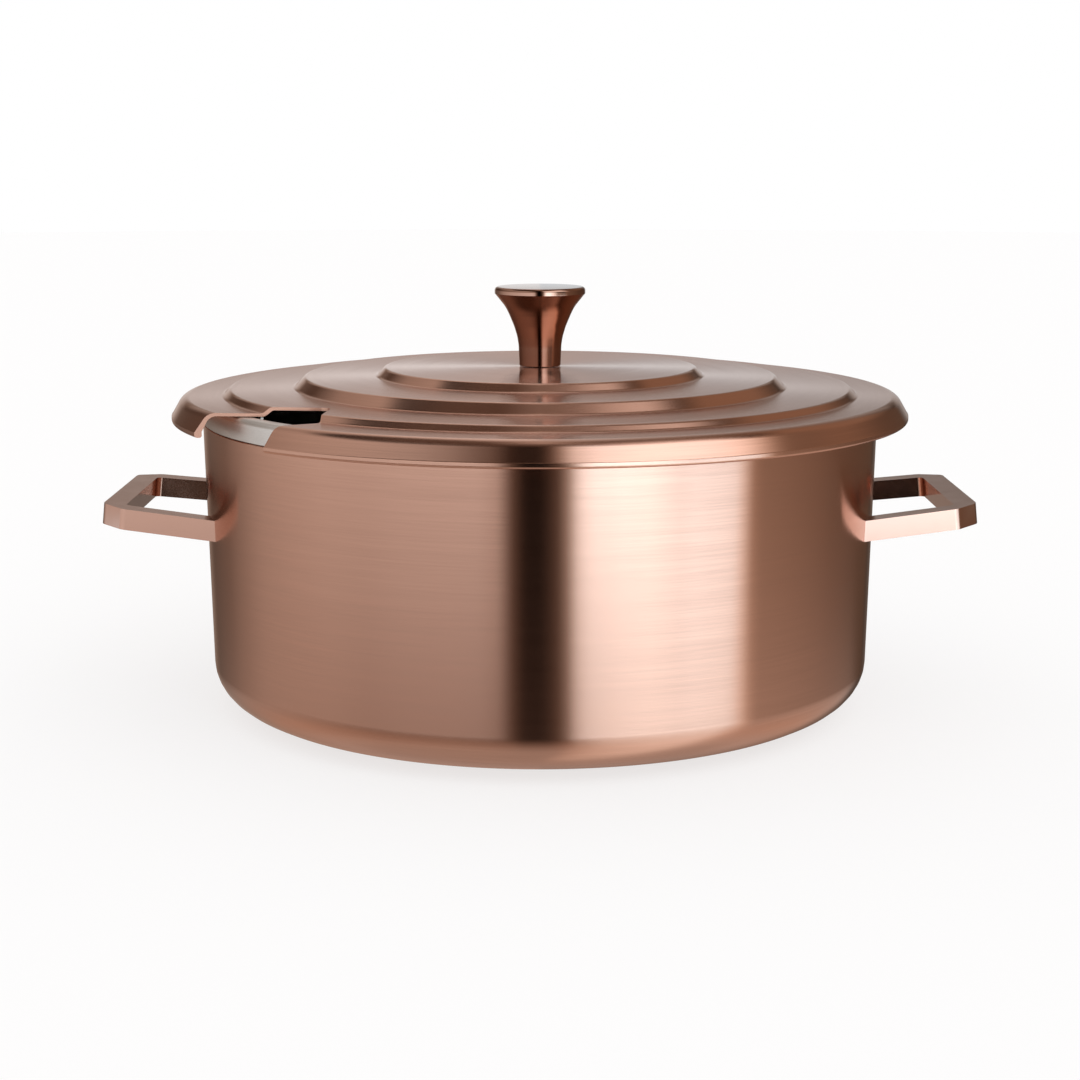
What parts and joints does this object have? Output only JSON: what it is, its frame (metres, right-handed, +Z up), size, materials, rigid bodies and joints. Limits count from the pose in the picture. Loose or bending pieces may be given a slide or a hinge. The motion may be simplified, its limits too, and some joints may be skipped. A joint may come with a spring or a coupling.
{
  "type": "soup chafing dish",
  "caption": "Copper-coloured round soup chafing dish: water-bath pot with bar handles, lift-out insert and stepped lid with a knob and a ladle notch.",
  "frame": {"origin": "centre of the flat steel base that the dish stands on", "axes": "+X along the line through both handles, +Z up the pot's own axis, -Y towards the viewer of the picture; the ladle notch opens towards -X and -Y"},
  "size_m": [0.4382, 0.375, 0.2134],
  "materials": {
    "satin_copper": "stainless steel brushed round the axis, with a copper-coloured vapour coat",
    "bright_copper": "polished stainless steel with a copper-coloured vapour coat",
    "bare_steel": "satin stainless steel",
    "fastener_steel": "stainless steel as turned",
    "core_aluminium": "rolled, uncoated",
    "seal_rubber": "moulded silicone, matt"
  },
  "bodies": {
    "pot": {"outer_pot": "satin_copper", "base_cap": "bare_steel", "base_core": "core_aluminium", "handle_left": "bright_copper", "handle_right": "bright_copper", "handle_screw_left_front": "fastener_steel", "handle_screw_left_back": "fastener_steel", "handle_screw_right_front": "fastener_steel", "handle_screw_right_back": "fastener_steel", "handle_washer_left_front": "fastener_steel", "handle_washer_left_back": "fastener_steel", "handle_washer_right_front": "fastener_steel", "handle_washer_right_back": "fastener_steel", "handle_seal_left_front": "seal_rubber", "handle_seal_left_back": "seal_rubber", "handle_seal_right_front": "seal_rubber", "handle_seal_right_back": "seal_rubber"},
    "insert": {"soup_insert": "bare_steel"},
    "lid": {"lid": "satin_copper", "lid_guide_ring": "bare_steel", "lid_knob": "bright_copper", "knob_screw": "fastener_steel", "knob_washer": "fastener_steel"}
  },
  "joints": [
    {"name": "insert_lift", "type": "slide", "parent": "pot", "child": "insert", "axis": [0, 0, 1], "range_m": [0, 0.16]},
    {"name": "lid_lift", "type": "slide", "parent": "insert", "child": "lid", "axis": [0, 0, 1], "range_m": [0, 0.12]}
  ]
}
